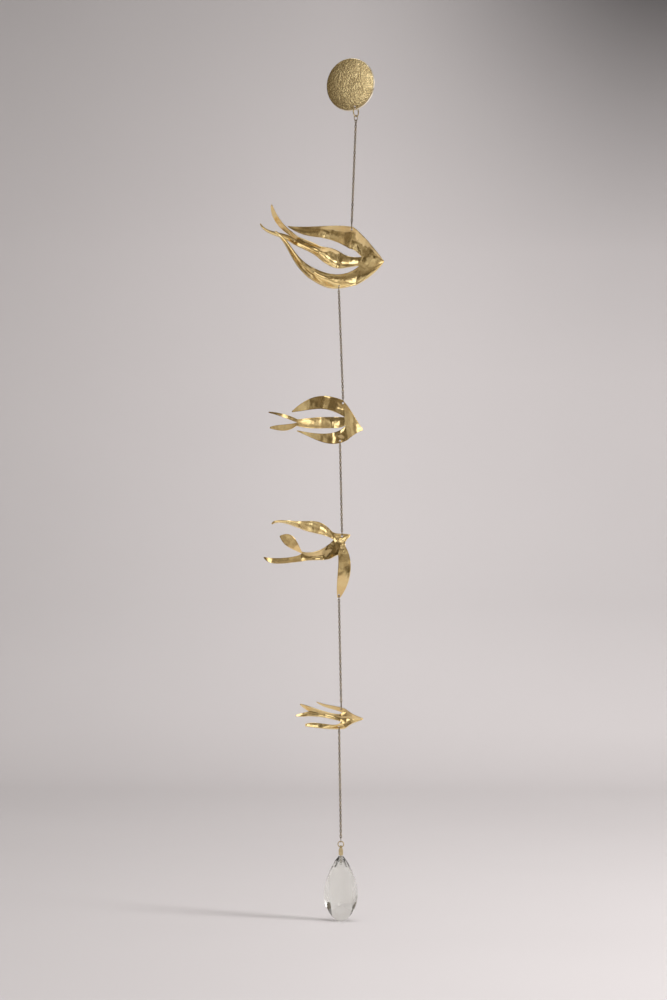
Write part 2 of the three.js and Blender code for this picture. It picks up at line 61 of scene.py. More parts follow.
# Camera and stage. The camera looks along +Y at the middle of the picture, given as [across, up].
PICTURE_CENTRE = (-13.5, -319.8)
CAMERA_DISTANCE = 2000
CAMERA_REACH = 100
LENS = 93.5
LONG_SIDE = 36
SWEEP = {"width": 2400, "front": 700, "back": 900, "bend": 700, "height": 3200, "below": 0.1}
SWEEP_STEPS = 24
# Lamps in metres: where each stands, what it points at and its size, then its power and colour
LAMPS = {
    "window": ((1.5, -0.62, -0.22), (0, 0.1, -0.4), (0.4, 0.4), 36, (1, 0.98, 0.965)),
    "overhead": ((0.4, -0.3, 1.4), (0, 0.4, -0.7), (1.3, 1.1), 15, (1, 0.985, 0.98)),
}
# The backdrop's tones, and the shade painted into its colour, placed in metres: how dark it is from its foot
# to its top, how that weakens to the left of the middle, and how dark it is far to the left and above
PAPER_TONES = [(0.3, (0.6, 0.574, 0.585)), (0.7, (0.616, 0.59, 0.601))]
SHADE_UP = {"from": -0.66, "to": 0.54}
SHADE_STOPS = [(0.05, 0), (0.17, 0.19), (0.42, 0.2), (0.57, 0.29), (0.74, 0.59), (0.9, 0.9)]
SHADE_RIGHT = {"from": -0.05, "to": 0.46, "least": 0.36}
SHADE_LEFT = {"from": 0.0, "to": -0.46, "most": 0.14}
SHADE_TOP = {"from": 0.39, "to": 0.6, "most": 0.6}

# Driving dimensions
DISC = {"radius": 20.4, "thickness": 1.8, "turn": 26, "dome": 1.0, "dish": 0.3, "edge": 1.2, "bevel": 0.35}
DISC_FLAT = 12
DISC_RINGS = 64
RIM_STEPS = 7
DISC_SIDES = 240
# Hammer marks in metres: the width and the depth of each kind
HAMMERING = [(0.0017, 0.00010, "VORONOI"), (0.0009, 0.00008, "CLOUDS")]
DISC_HOLE = {"radius": 1.3, "down": 17.9, "right": 3.8}
DISC_RING = {"radius": 3.5, "wire": 1.0, "turn": 56, "tilt": 22, "slit_at": 200}
DROP_RING = {"radius": 2.2, "wire": 0.8, "slit_at": 150}
RING_STEPS = 72
LINK = {"pitch": 2.0, "length": 3.2, "width": 2.0, "wire": 0.6, "around": 12, "section": 6}
END_LINK = {"length": 4.6, "width": 3.6, "wire": 0.6, "around": 20, "section": 8}
LINK_TURN = radians(18)
SHEET = 1.0
SHEET_HOLE = {"radius": 0.85, "inset": 1.8}
BAIL = {"strip": 0.5, "room": 0.85, "top_width": 1.9, "width": 3.6, "height": 6.6}
PEG = {"radius": 0.45, "length": 6.5}
CRYSTAL = {"height": 50, "width": 25.8, "depth": 15, "bore": 0.8}
GAP = 0.3
# The slit's turn in degrees, in a ring of 1 mm radius
SLIT_TURN = 6
# How far each chain drops between its two holds, and how far it leans to the right
CHAINS = [(86.7, -3.2), (89.9, 3.2), (73.3, 1.5), (88.1, 1.6), (88.3, 1.5)]

# The pear. Its half width at a share of the height from the top is sin(pi * share ** PEAR_LOW) ** PEAR_FULL.
PEAR_LOW = 1.36
PEAR_FULL = 0.515
PEAR_TOP = 0.025
PEAR_DEPTH = 20.5
PEAR_SIDES = 96
PEAR_LEVELS = 72
CRYSTAL_IOR = 1.53
# Flat cuts through the pear: a point as [share of half width, half depth, share of the height from the
# top] and the way that the cut faces
FACET_CUTS = [
    ((0, -1, 0.70), (0, -1, 0.07)),
    ((0, -1, 0.70), (0, -1, -0.47)),
    ((0, 1, 0.62), (0.32, 1, 0.02)),
    ((0, 1, 0.62), (-0.32, 1, 0.02)),
    ((0, 1, 0.72), (0, 1, -0.5)),
    ((1, -0.07, 0.6), (1, -0.59, 0.1)),
    ((-1, -0.07, 0.6), (-1, -0.59, 0.1)),
    ((1, 0.07, 0.6), (1, 0.66, 0.1)),
    ((-1, 0.07, 0.6), (-1, 0.66, 0.1)),
    ((0.5, -0.7, 0.285), (0.8, -1, 0.3)),
    ((-0.42, -0.7, 0.236), (-0.8, -1, 0.34)),
    ((0.6, -0.79, 0.8), (0.72, -0.8, -0.45)),
    ((-0.55, -0.72, 0.8), (-0.72, -0.8, -0.45)),
]

# A swallow's points are [behind the beak, above the beak] in hundredths of its length. A stage of the
# sheet lies between two cubic edges, each given by its handles and its end.
ROWS = {"head": 40, "wing": 44, "body": 30, "tail": 32, "lower_wing": 44}
ACROSS = {"wing": 12, "body": 16, "lower_wing": 12}
BEAK_WIDTH = 1.2
DENT = {"height": 0.4, "size": 11, "clear": 5}


def stage(upper, lower, near, cup, bow):
    return {"upper": upper, "lower": lower, "near": near, "cup": cup, "bow": bow}


def crease(start, end, height, left, right):
    """A fold along a line, as high as height towards the viewer and as wide as left and right (mm)."""
    return {"start": start, "end": end, "height": height, "left": left, "right": right}


SWALLOWS = [
    {
        "length": 96,
        "notches": [(18.1, 3.6), (20.1, -3.6)],
        "fork": 0.3,
        "hang": (25.9, 25.1),
        "chain": (36.2, -20.5),
        "creases": [
            crease((27.5, 9.6), (24.7, 28.0), 0.8, 5, 5),
            crease((45.2, 12.8), (41.9, 26.5), -0.6, 8, 8),
            crease((54.8, 0.0), (50.0, 14.4), 1.3, 10, 6),
            crease((38.7, -6.4), (34.7, 9.6), -1.0, 7, 9),
            crease((17.9, 0.0), (11.5, 12.8), -0.6, 5, 6),
            crease((65.2, -8.0), (60.4, 0.0), 0.7, 6, 6),
        ],
        "head": stage([(4.5, 6.1), (9.5, 11.9), (14.5, 17.6)], [(5.8, -8.2), (13.6, -15.0), (22.6, -19.4)],
                      (6, 6), -5, 1),
        "wing": [
            stage([(17.9, 20.7), (21.0, 24.3), (25.0, 26.6)], [(21.8, 7.1), (22.1, 8.7), (27.8, 9.6)],
                  (10, 6), -1.5, 0),
            stage([(40.0, 29.4), (60.6, 25.6), (77.3, 28.4)], [(49.6, 23.7), (58.7, 14.3), (76.7, 27.4)],
                  (2, 2), 0, 2),
        ],
        "body": [
            stage([(36.6, 2.6), (31.4, 11.5), (50.6, 11.5)], [(35.9, -4.7), (38.4, -8.8), (52.6, 3.0)],
                  (2, 2), -2.5, -4),
            stage([(56.7, 14.7), (62.8, 17.8), (69.1, 20.5)], [(58.7, 8.3), (66.1, 10.6), (72.7, 14.8)],
                  (-8, -8), -2, 2),
        ],
        "tail": [
            stage([(79.9, 29.4), (84.0, 31.9), (89.9, 45.5)], [(79.9, 22.8), (92.4, 33.3), (90.7, 44.9)],
                  (4, 4), 0, -2),
            stage([(82.9, 26.8), (92.8, 22.9), (99.5, 32.2)], [(83.0, 22.5), (96.2, 22.2), (100.3, 31.6)],
                  (-14, -14), 0, 0),
        ],
        "lower_wing": [
            stage([(29.3, -12.5), (41.7, -12.0), (53.5, -6.5)],
                  [(40.0, -24.0), (45.8, -23.7), (60.7, -13.2)],
                  (0, 6), -2.5, 2),
            stage([(72.2, 0.3), (73.8, 16.9), (87.0, 24.0)], [(75.7, 0.0), (75.4, 12.5), (87.6, 23.0)],
                  (8, 8), 0, -3),
        ],
    },
    {
        "length": 72.4,
        "notches": [(19.0, 13.4), (17.7, 4.6)],
        "fork": 0.5,
        "hang": (20.8, 28.4),
        "chain": (24.0, -12.1),
        "creases": [
            crease((19.6, -12.8), (19.6, 34.0), 1.0, 10, 30),
            crease((43.9, 0.0), (43.9, 13.8), -0.5, 18, 14),
            crease((37.1, 19.1), (33.9, 34.0), 0.7, 5, 6),
            crease((60.5, 19.0), (56.3, 32.0), -0.5, 7, 7),
            crease((23.3, -14.9), (23.3, -2.0), 0.6, 5, 5),
        ],
        "head": stage([(7.6, 10.4), (12.1, 22.6), (21.2, 31.5)], [(5.9, -2.7), (11.0, -6.7), (15.9, -11.0)],
                      (3, 2), 0, 1),
        "wing": [
            stage([(43.8, 40.7), (58.3, 36.0), (75.6, 19.8)], [(41.7, 27.2), (50.3, 21.4), (75.0, 18.7)],
                  (-4, -4), 0, -2),
        ],
        "body": [
            stage([(26.7, 13.6), (34.9, 13.7), (43.2, 13.5)], [(24.7, 0.3), (35.1, 2.0), (43.6, 1.4)],
                  (0, 1), -0.6, 0),
            stage([(51.9, 13.3), (60.5, 12.1), (69.0, 10.9)], [(53.3, 1.2), (60.8, 1.2), (70.1, 4.0)],
                  (6, 7), -0.3, 0),
        ],
        "tail": [
            stage([(78.6, 15.8), (89.1, 18.6), (99.8, 19.5)], [(79.7, 11.1), (89.6, 15.6), (100.0, 18.2)],
                  (-6, -6), 0, 2),
            stage([(79.1, 4.8), (89.2, 6.0), (98.6, 2.8)], [(79.4, -3.4), (87.9, -1.9), (98.5, 1.2)],
                  (8, 8), 0, 1),
        ],
        "lower_wing": [
            stage([(27.4, -8.7), (55.3, -3.3), (69.7, -0.5)], [(35.3, -21.9), (52.2, -8.6), (70.1, -1.7)],
                  (-3, -3), 0, -3),
        ],
    },
    {
        "length": 66.6,
        "notches": [(18.7, -5.3), (13.6, -22.5)],
        "fork": 0.2,
        "hang": (9.2, -1.0),
        "chain": (12.7, -69.0),
        "creases": [
            crease((19.3, 0.0), (11.2, -11.6), 0.8, 8, 5),
            crease((11.2, -11.6), (2.0, 1.2), 0.8, 8, 4),
            crease((28.6, -23.1), (22.8, -8.0), 1.0, 5, 4),
            crease((33.2, -25.0), (30.6, -14.0), -0.6, 6, 4),
            crease((37.8, -4.6), (33.2, 16.0), 0.7, 6, 5),
            crease((18.1, -30.0), (2.0, -30.0), 0.5, 5, 6),
        ],
        "head": stage([(8.1, 2.9), (13.8, 0.4), (20.2, 4.0)], [(3.1, -5.4), (6.9, -6.8), (5.3, -12.5)],
                      (2, 6), -2, 1),
        "wing": [
            stage([(33.6, 18.1), (38.0, 16.7), (57.2, 16.4)], [(30.4, 2.7), (45.5, 1.7), (57.8, 8.6)],
                  (9, 14), -1.5, -1),
            stage([(63.8, 15.9), (88.6, 20.8), (90.5, 13.6)], [(66.7, 11.2), (81.0, 19.6), (89.4, 12.6)],
                  (20, 20), 0, 2),
        ],
        "body": [
            stage([(22.6, -9.9), (27.7, -12.8), (32.4, -16.4)],
                  [(22.7, -26.2), (21.3, -28.4), (31.4, -28.7)],
                  (-4, -6), -2.5, -1),
            stage([(40.2, -20.0), (47.4, -21.6), (55.8, -19.2)],
                  [(40.3, -28.8), (48.3, -28.7), (57.0, -30.8)],
                  (-9, -9), -0.5, 1),
        ],
        "tail": [
            stage([(61.5, -8.2), (65.2, 6.9), (81.2, -0.6)], [(68.8, -14.2), (75.4, -15.3), (81.4, -1.8)],
                  (-3, -3), 0, 2),
            stage([(63.2, -27.0), (92.5, -28.0), (99.9, -25.4)],
                  [(75.5, -32.5), (93.5, -37.0), (99.9, -26.8)],
                  (-18, -18), 0, 2),
        ],
        "lower_wing": [
            stage([(12.6, -38.9), (16.6, -55.4), (14.6, -71.9)],
                  [(-5.8, -30.8), (-0.9, -55.7), (11.4, -72.1)],
                  (0, 0), 0, 6),
        ],
    },
    {
        "length": 51.8,
        "notches": [(30.5, 9.5), (33.0, -3.6)],
        "fork": 0.5,
        "hang": (32.5, 15.2),
        "chain": (35.7, -11.2),
        "creases": [
            crease((32.8, 4.5), (16.5, 4.5), 1.3, 5, 6),
            crease((16.5, -4.5), (16.5, 9.0), 0.9, 4, 6),
            crease((57.0, 3.0), (55.0, 12.0), -0.7, 5, 6),
        ],
        "head": stage([(8.6, 4.0), (17.2, 8.6), (25.3, 14.6)], [(12.4, -4.7), (15.3, -4.2), (25.7, -12.9)],
                      (5, 8), -6, 2),
        "wing": [
            stage([(38.8, 20.6), (53.2, 20.2), (68.9, 27.2)], [(40.1, 15.8), (56.5, 16.4), (68.8, 25.8)],
                  (16, 16), 0, 1),
        ],
        "body": [
            stage([(36.0, 3.5), (57.0, 9.5), (78.5, 17.2)], [(42.0, -1.5), (58.0, 4.0), (82.9, 3.4)],
                  (-10, -10), -2, 0),
        ],
        "tail": [
            stage([(83.7, 19.2), (88.9, 20.9), (93.6, 22.2)], [(85.9, 13.2), (91.1, 17.6), (93.6, 20.6)],
                  (-6, -6), 0, 0),
            stage([(86.6, 8.6), (93.3, 7.0), (100.0, 4.8)], [(88.1, 2.4), (94.8, 1.6), (100.0, 2.8)],
                  (-16, -16), 0, 0),
        ],
        "lower_wing": [
            stage([(36.0, -16.3), (69.9, 0.8), (85.7, -7.0)], [(35.1, -15.6), (75.2, -11.9), (85.7, -9.3)],
                  (12, 14), 0, 3),
        ],
    },
]


# Making and finishing a piece

def deselect():
    bpy.ops.object.select_all(action="DESELECT")


def choose(*pieces):
    deselect()
    for piece in pieces:
        piece.select_set(True)
    bpy.context.view_layer.objects.active = pieces[0]


def made(name):
    piece = bpy.context.active_object
    piece.name = name
    piece.data.name = name
    return piece


def settle(piece):
    choose(piece)
    bpy.ops.object.transform_apply(location=True, rotation=True, scale=True)
    return piece


def apply_modifiers(piece):
    choose(piece)
    for modifier in list(piece.modifiers):
        bpy.ops.object.modifier_apply(modifier=modifier.name)


def join(name, parts):
    choose(*parts)
    if len(parts) > 1:
        bpy.ops.object.join()
    return made(name)


def edit(piece, *steps):
    """Edit mode on the whole piece, for operators that act on all of its faces."""
    choose(piece)
    bpy.ops.object.mode_set(mode="EDIT")
    bpy.ops.mesh.select_all(action="SELECT")
    for step in steps:
        step()
    bpy.ops.object.mode_set(mode="OBJECT")


def outward():
    bpy.ops.mesh.normals_make_consistent(inside=False)


def weld(threshold=1e-6):
    return lambda: bpy.ops.mesh.remove_doubles(threshold=threshold)


def cut(piece, tool, operation="DIFFERENCE"):
    choose(piece)
    boolean = piece.modifiers.new("cut", "BOOLEAN")
    boolean.operation = operation
    boolean.solver = "EXACT"
    boolean.object = tool
    apply_modifiers(piece)
    bpy.data.objects.remove(tool)


def soften(piece, width, angle=35, segments=2):
    bevel = piece.modifiers.new("soft edges", "BEVEL")
    bevel.width = width * MM
    bevel.segments = segments
    bevel.limit_method = "ANGLE"
    bevel.angle_limit = radians(angle)
    apply_modifiers(piece)


def smooth(piece, angle=40):
    choose(piece)
    bpy.ops.object.shade_smooth_by_angle(angle=radians(angle))


def drill(piece, centre, direction, radius, length, sides=28):
    rotation = UPRIGHT.rotation_difference(Vector(direction)).to_euler()
    deselect()
    bpy.ops.mesh.primitive_cylinder_add(
        vertices=sides, radius=radius * MM, depth=length * MM, location=centre * MM, rotation=rotation)
    cut(piece, made("drill"))


# Camera and stage

def place_camera():
    x, z = PICTURE_CENTRE
    deselect()
    bpy.ops.object.camera_add(location=Vector((x, -CAMERA_DISTANCE, z)) * MM, rotation=(pi / 2, 0, 0))
    camera = bpy.context.active_object
    camera.data.lens = LENS
    camera.data.sensor_fit = "AUTO"
    camera.data.sensor_width = LONG_SIDE
    camera.data.clip_end = CAMERA_REACH
    bpy.context.scene.camera = camera


def studio_sweep(floor_z, material):
    """The pale floor, which curves up into the backdrop."""
    width, front, back, bend, height = (SWEEP[k] for k in ("width", "front", "back", "bend", "height"))
    line = [(-front, 0), (back, 0)]
    curve = np.linspace(0, pi / 2, SWEEP_STEPS + 1)[1:]
    line += [(back + bend * sin(a), bend * (1 - cos(a))) for a in curve]
    line.append((back + bend, height))
    deselect()
    bpy.ops.mesh.primitive_grid_add(x_subdivisions=2, y_subdivisions=len(line) - 1, size=1)
    sweep = made("studio_sweep")
    for v in sweep.data.vertices:
        y, z = line[round((v.co.y + 0.5) * (len(line) - 1))]
        v.co = Vector((v.co.x * width, y, z + floor_z)) * MM
    smooth(sweep, 60)
    sweep.data.materials.append(material)


def soft_light(name, location, target, size, power, tone):
    deselect()
    bpy.ops.object.light_add(type="AREA", location=location)
    lamp = bpy.context.active_object
    lamp.name = name
    lamp.rotation_euler = (Vector(target) - Vector(location)).to_track_quat("-Z", "Y").to_euler()
    lamp.data.shape = "RECTANGLE"
    lamp.data.size, lamp.data.size_y = size
    lamp.data.energy = power
    lamp.data.color = tone
    lamp.visible_glossy = False


# Shading

def node(tree, kind, inputs=None, **settings):
    made_node = tree.nodes.new("ShaderNode" + kind)
    for key, value in settings.items():
        setattr(made_node, key, value)
    for key, value in (inputs or {}).items():
        socket = made_node.inputs[key]
        if isinstance(value, bpy.types.NodeSocket):
            tree.links.new(value, socket)
        else:
            socket.default_value = value
    return made_node


def ramp(tree, fac, stops):
    made_node = node(tree, "ValToRGB", {"Fac": fac})
    elements = made_node.color_ramp.elements
    while len(elements) < len(stops):
        elements.new(0.5)
    for element, (position, colour) in zip(elements, stops):
        element.position = position
        element.color = (*colour, 1)
    return made_node.outputs["Color"]


def group(name, inputs, outputs):
    tree = bpy.data.node_groups.new(name, "ShaderNodeTree")
    kinds = {"value": "NodeSocketFloat", "colour": "NodeSocketColor"}
    for label, kind, value in inputs:
        socket = tree.interface.new_socket(label, in_out="INPUT", socket_type=kinds[kind])
        socket.default_value = value
    for label, kind in outputs:
        tree.interface.new_socket(label, in_out="OUTPUT", socket_type=kinds[kind])
    return tree, tree.nodes.new("NodeGroupInput").outputs, tree.nodes.new("NodeGroupOutput").inputs


def brass_tone_group():
    """Brass that has darkened unevenly: broad tarnish and fine speckle, which also set its roughness."""
    tree, given, result = group(
        "brass_tone",
        [("Bright", "colour", (0.8, 0.55, 0.2, 1)), ("Deep", "colour", (0.4, 0.25, 0.08, 1)),
         ("Broad Size", "value", 60), ("Fine Size", "value", 900), ("Tarnish", "value", 0.5),
         ("Smoothest", "value", 0.1), ("Roughest", "value", 0.3)],
        [("Color", "colour"), ("Roughness", "value"), ("Grain", "value")])
    place = node(tree, "TexCoord").outputs["Object"]
    broad = node(tree, "TexNoise", {"Vector": place, "Scale": given["Broad Size"], "Detail": 4,
                                    "Distortion": 0.6})
    fine = node(tree, "TexNoise", {"Vector": place, "Scale": given["Fine Size"], "Detail": 3})
    patches = node(tree, "MapRange", {"Value": broad.outputs["Fac"], "From Min": 0.38, "From Max": 0.68})
    speckle = node(tree, "MapRange", {"Value": fine.outputs["Fac"], "From Min": 0.35, "From Max": 0.75})
    both = node(tree, "Math", {0: patches.outputs["Result"], 1: 0.7}, operation="MULTIPLY")
    both = node(tree, "Math", {0: speckle.outputs["Result"], 1: 0.3, 2: both.outputs[0]},
                operation="MULTIPLY_ADD")
    amount = node(tree, "Math", {0: both.outputs[0], 1: given["Tarnish"]}, operation="MULTIPLY")
    tone = node(tree, "MixRGB", {"Fac": amount.outputs[0], "Color1": given["Bright"],
                                 "Color2": given["Deep"]})
    rough = node(tree, "MapRange", {"Value": both.outputs[0], "To Min": given["Smoothest"],
                                    "To Max": given["Roughest"]})
    tree.links.new(tone.outputs["Color"], result["Color"])
    tree.links.new(rough.outputs["Result"], result["Roughness"])
    tree.links.new(fine.outputs["Fac"], result["Grain"])
    return tree


def material(name):
    made_material = bpy.data.materials.new(name)
    made_material.use_nodes = True
    tree = made_material.node_tree
    return made_material, tree, tree.nodes["Principled BSDF"]


def place_group(tree, shared, values):
    made_node = tree.nodes.new("ShaderNodeGroup")
    made_node.node_tree = shared
    for key, value in values.items():
        made_node.inputs[key].default_value = value
    return made_node.outputs


def brass(name, shared, values, relief):
    """A brass finish. relief makes the surface's own height from the tree and the shared outputs."""
    made_material, tree, shader = material(name)
    tone = place_group(tree, shared, values)
    tree.links.new(tone["Color"], shader.inputs["Base Color"])
    tree.links.new(tone["Roughness"], shader.inputs["Roughness"])
    shader.inputs["Metallic"].default_value = 1.0
    tree.links.new(relief(tree, tone), shader.inputs["Normal"])
    return made_material


def hammered_relief(tree, tone):
    place = node(tree, "TexCoord").outputs["Object"]
    dents = node(tree, "TexVoronoi", {"Vector": place, "Scale": 1000, "Randomness": 1.0},
                 feature="SMOOTH_F1")
    creases = node(tree, "TexNoise", {"Vector": place, "Scale": 2200, "Detail": 5, "Roughness": 0.65})
    height = node(tree, "Math", {0: dents.outputs["Distance"], 1: 0.9, 2: creases.outputs["Fac"]},
                  operation="MULTIPLY_ADD")
    bump = node(tree, "Bump", {"Height": height.outputs[0], "Strength": 1.0, "Distance": 0.0001})
    return bump.outputs["Normal"]


def sheet_relief(tree, tone):
    place = node(tree, "TexCoord").outputs["Object"]
    waves = node(tree, "TexNoise", {"Vector": place, "Scale": 130, "Detail": 2, "Roughness": 0.4})
    stretched = node(tree, "Mapping", {"Vector": place, "Scale": (0.35, 1.0, 2.2), "Rotation": (0, 0.3, 0)})
    rubbing = node(tree, "TexNoise", {"Vector": stretched.outputs["Vector"], "Scale": 1600, "Detail": 3})
    broad = node(tree, "Bump", {"Height": waves.outputs["Fac"], "Strength": 0.3, "Distance": 0.0012})
    fine = node(tree, "Bump", {"Height": rubbing.outputs["Fac"], "Strength": 0.25, "Distance": 0.00003,
                               "Normal": broad.outputs["Normal"]})
    return fine.outputs["Normal"]


def wire_relief(tree, tone):
    bump = node(tree, "Bump", {"Height": tone["Grain"], "Strength": 0.25, "Distance": 0.00004})
    return bump.outputs["Normal"]


def crystal_material():
    made_material, tree, shader = material("clear_crystal")
    place = node(tree, "TexCoord").outputs["Object"]
    haze = node(tree, "TexNoise", {"Vector": place, "Scale": 90, "Detail": 4})
    rough = node(tree, "MapRange", {"Value": haze.outputs["Fac"], "From Min": 0.55, "From Max": 0.85,
                                    "To Min": 0.0, "To Max": 0.05})
    tree.links.new(rough.outputs["Result"], shader.inputs["Roughness"])
    tint = ramp(tree, haze.outputs["Fac"], [(0.3, (0.905, 0.92, 0.875)), (0.7, (0.935, 0.945, 0.905))])
    tree.links.new(tint, shader.inputs["Base Color"])
    shader.inputs["Transmission Weight"].default_value = 1.0
    shader.inputs["IOR"].default_value = CRYSTAL_IOR
    return made_material


def sweep_material():
    made_material, tree, shader = material("studio_paper")
    place = node(tree, "TexCoord").outputs["Object"]
    paper = node(tree, "TexNoise", {"Vector": place, "Scale": 3, "Detail": 2})
    tone = ramp(tree, paper.outputs["Fac"], PAPER_TONES)
    # Painted shade: the paper's colour is darkened upwards, most on the right, further darkened far to the
    # left and high up
    axes = node(tree, "SeparateXYZ", {0: place})
    height = node(tree, "MapRange", {"Value": axes.outputs["Z"], "From Min": SHADE_UP["from"],
                                     "From Max": SHADE_UP["to"]})
    high = ramp(tree, height.outputs["Result"], [(at, (dark,) * 3) for at, dark in SHADE_STOPS])
    right = node(tree, "MapRange", {"Value": axes.outputs["X"], "From Min": SHADE_RIGHT["from"],
                                    "From Max": SHADE_RIGHT["to"], "To Min": SHADE_RIGHT["least"]},
                 interpolation_type="SMOOTHSTEP")
    above = node(tree, "MapRange", {"Value": axes.outputs["Z"], "From Min": SHADE_TOP["from"],
                                    "From Max": SHADE_TOP["to"], "To Max": SHADE_TOP["most"]})
    left = node(tree, "MapRange", {"Value": axes.outputs["X"], "From Min": SHADE_LEFT["from"],
                                   "From Max": SHADE_LEFT["to"], "To Max": SHADE_LEFT["most"]})
    corner = node(tree, "Math", {0: high, 1: right.outputs["Result"], 2: left.outputs["Result"]},
                  operation="MULTIPLY_ADD")
    shade = node(tree, "Math", {0: corner.outputs[0], 1: above.outputs["Result"]}, operation="MAXIMUM")
    shaded = node(tree, "MixRGB", {"Fac": shade.outputs[0], "Color1": tone, "Color2": (0, 0, 0, 1)})
    tree.links.new(shaded.outputs["Color"], shader.inputs["Base Color"])
    shader.inputs["Roughness"].default_value = 0.9
    return made_material


# The room's light is a base plus its regions. A region has the way towards it, its half angle in degrees and
# how much lighter it is, in full over the core share of that angle. Warmth is the colour at a strength.
ROOM_BASE = 0.47
ROOM_CORE = 0.55
ROOM_WARMTH = [(0.04, (1.0, 0.78, 0.47)), (0.45, (1.0, 0.94, 0.87)), (0.95, (1.0, 0.99, 0.98))]
ROOM_REGIONS = [
    ((0.0, 1.0, 0.1), 80, -0.37),
    ((0.8, -0.45, 0.3), 30, 0.5),
    ((0.0, 0.1, 1.0), 42, 0.7),
    ((0.95, -0.25, 0.16), 20, 0.9),
    ((-0.6, -0.77, 0.15), 12, 1.5),
    ((0.55, -0.83, 0.14), 10, 1.8),
    ((-1.0, -0.1, 0.0), 50, -0.3),
    ((-0.42, -0.88, -0.15), 22, -0.24),
    ((0.0, -0.78, 0.62), 12, -0.25),
    ((0.03, -0.64, 0.77), 8, 1.4),
    ((0.0, -0.7, -0.7), 34, -0.2),
]


def light_room():
    """A dim studio room with soft bright and dark regions, which the brass mirrors."""
    world = bpy.data.worlds.new("studio_room")
    world.use_nodes = True
    bpy.context.scene.world = world
    tree = world.node_tree
    way = node(tree, "TexCoord").outputs["Generated"]
    total = None
    for direction, reach, strength in ROOM_REGIONS:
        aligned = node(tree, "VectorMath", {0: way, 1: Vector(direction).normalized()},
                       operation="DOT_PRODUCT")
        region = node(tree, "MapRange", {"Value": aligned.outputs["Value"], "From Min": cos(radians(reach)),
                                         "From Max": cos(radians(reach * ROOM_CORE)),
                                         "To Max": strength},
                      interpolation_type="SMOOTHSTEP")
        added = {0: region.outputs["Result"], 1: ROOM_BASE if total is None else total}
        total = node(tree, "Math", added, operation="ADD").outputs[0]
    clutter = node(tree, "TexNoise", {"Vector": way, "Scale": 4.2, "Detail": 3, "Roughness": 0.55})
    uneven = node(tree, "MapRange", {"Value": clutter.outputs["Fac"], "From Min": 0.36, "From Max": 0.64,
                                     "To Min": 0.2, "To Max": 1.7})
    varied = node(tree, "Math", {0: total, 1: uneven.outputs["Result"]}, operation="MULTIPLY")
    bounded = node(tree, "Math", {0: varied.outputs[0], 1: 0.02}, operation="MAXIMUM").outputs[0]
    background = tree.nodes["Background"]
    tree.links.new(ramp(tree, bounded, ROOM_WARMTH), background.inputs["Color"])
    tree.links.new(bounded, background.inputs["Strength"])


# The disc and the rings

def disc_front(r):
    inner = DISC["radius"] - DISC["edge"]
    return -DISC["thickness"] - DISC["dome"] * (1 - (r / inner) ** 3)


def make_disc():
    """Turned from a flat cylinder: inset ring by ring into a shallow dome, then hammered all over."""
    radius, thickness, bevel, edge = (DISC[k] for k in ("radius", "thickness", "bevel", "edge"))
    deselect()
    bpy.ops.mesh.primitive_cylinder_add(
        vertices=DISC_SIDES, radius=radius * MM, depth=thickness * MM, rotation=(pi / 2, 0, 0),
        location=(0, -thickness / 2 * MM, 0))
    disc = settle(made("hammered_disc"))
    choose(disc)
    bpy.ops.object.mode_set(mode="EDIT")
    bpy.ops.mesh.select_all(action="DESELECT")
    bpy.ops.object.mode_set(mode="OBJECT")
    front = next(f for f in disc.data.polygons if f.normal.y < -0.9)
    front.select = True
    bpy.ops.object.mode_set(mode="EDIT")
    step = (radius - edge) / DISC_RINGS
    rim = [edge * cos(a) for a in np.linspace(0, pi / 2, RIM_STEPS + 1)]
    for outer, inner in zip(rim, rim[1:]):
        bpy.ops.mesh.inset(thickness=(outer - inner) * MM)
    for _ in range(DISC_RINGS - 1):
        bpy.ops.mesh.inset(thickness=step * MM)
    bpy.ops.mesh.select_all(action="DESELECT")
    bpy.ops.object.mode_set(mode="OBJECT")
    back = next(f for f in disc.data.polygons if f.normal.y > 0.9)
    back.select = True
    bpy.ops.object.mode_set(mode="EDIT")
    bpy.ops.mesh.inset(thickness=edge * MM)
    bpy.ops.mesh.inset(thickness=(radius - edge - DISC_FLAT) * MM)
    bpy.ops.object.mode_set(mode="OBJECT")
    hammered = disc.vertex_groups.new(name="front")
    for v in disc.data.vertices:
        x, y, z = (c / MM for c in v.co)
        r = (x * x + z * z) ** 0.5
        beyond = min(max((r - radius + edge) / edge, 0), 1)
        if y < -thickness / 2 - 0.1:
            y = -thickness / 2 * (1 + (1 - beyond ** 2) ** 0.5) if beyond > 0.001 else disc_front(r)
            hammered.add([v.index], 1.0, "REPLACE")
        elif r > DISC_FLAT + 0.01:
            y = -DISC["dish"] - (bevel if beyond > 0.01 else 0)
        v.co.y = y * MM
    for size, strength, kind in HAMMERING:
        marks = bpy.data.textures.new("hammer_marks", kind)
        marks.noise_scale = size
        displace = disc.modifiers.new("hammering", "DISPLACE")
        displace.texture = marks
        displace.texture_coords = "LOCAL"
        displace.vertex_group = "front"
        displace.mid_level = 1.0
        displace.strength = strength
    apply_modifiers(disc)
    hole = Vector((DISC_HOLE["right"], -thickness / 2, -DISC_HOLE["down"]))
    drill(disc, hole, (0, 1, 0), DISC_HOLE["radius"], 4 * thickness)
    # The faces round the rim take a much paler brass, a painted sheen that gives the edge its bright
    # highlight
    rim_start = (radius - edge / 2) * MM
    disc.data.materials.append(finishes["hammered"])
    disc.data.materials.append(finishes["painted_rim_sheen"])
    for face in disc.data.polygons:
        if (face.center.x ** 2 + face.center.z ** 2) ** 0.5 > rim_start:
            face.material_index = 1
    disc.rotation_euler.z = radians(-DISC["turn"])
    settle(disc)
    smooth(disc, 50)
    return disc


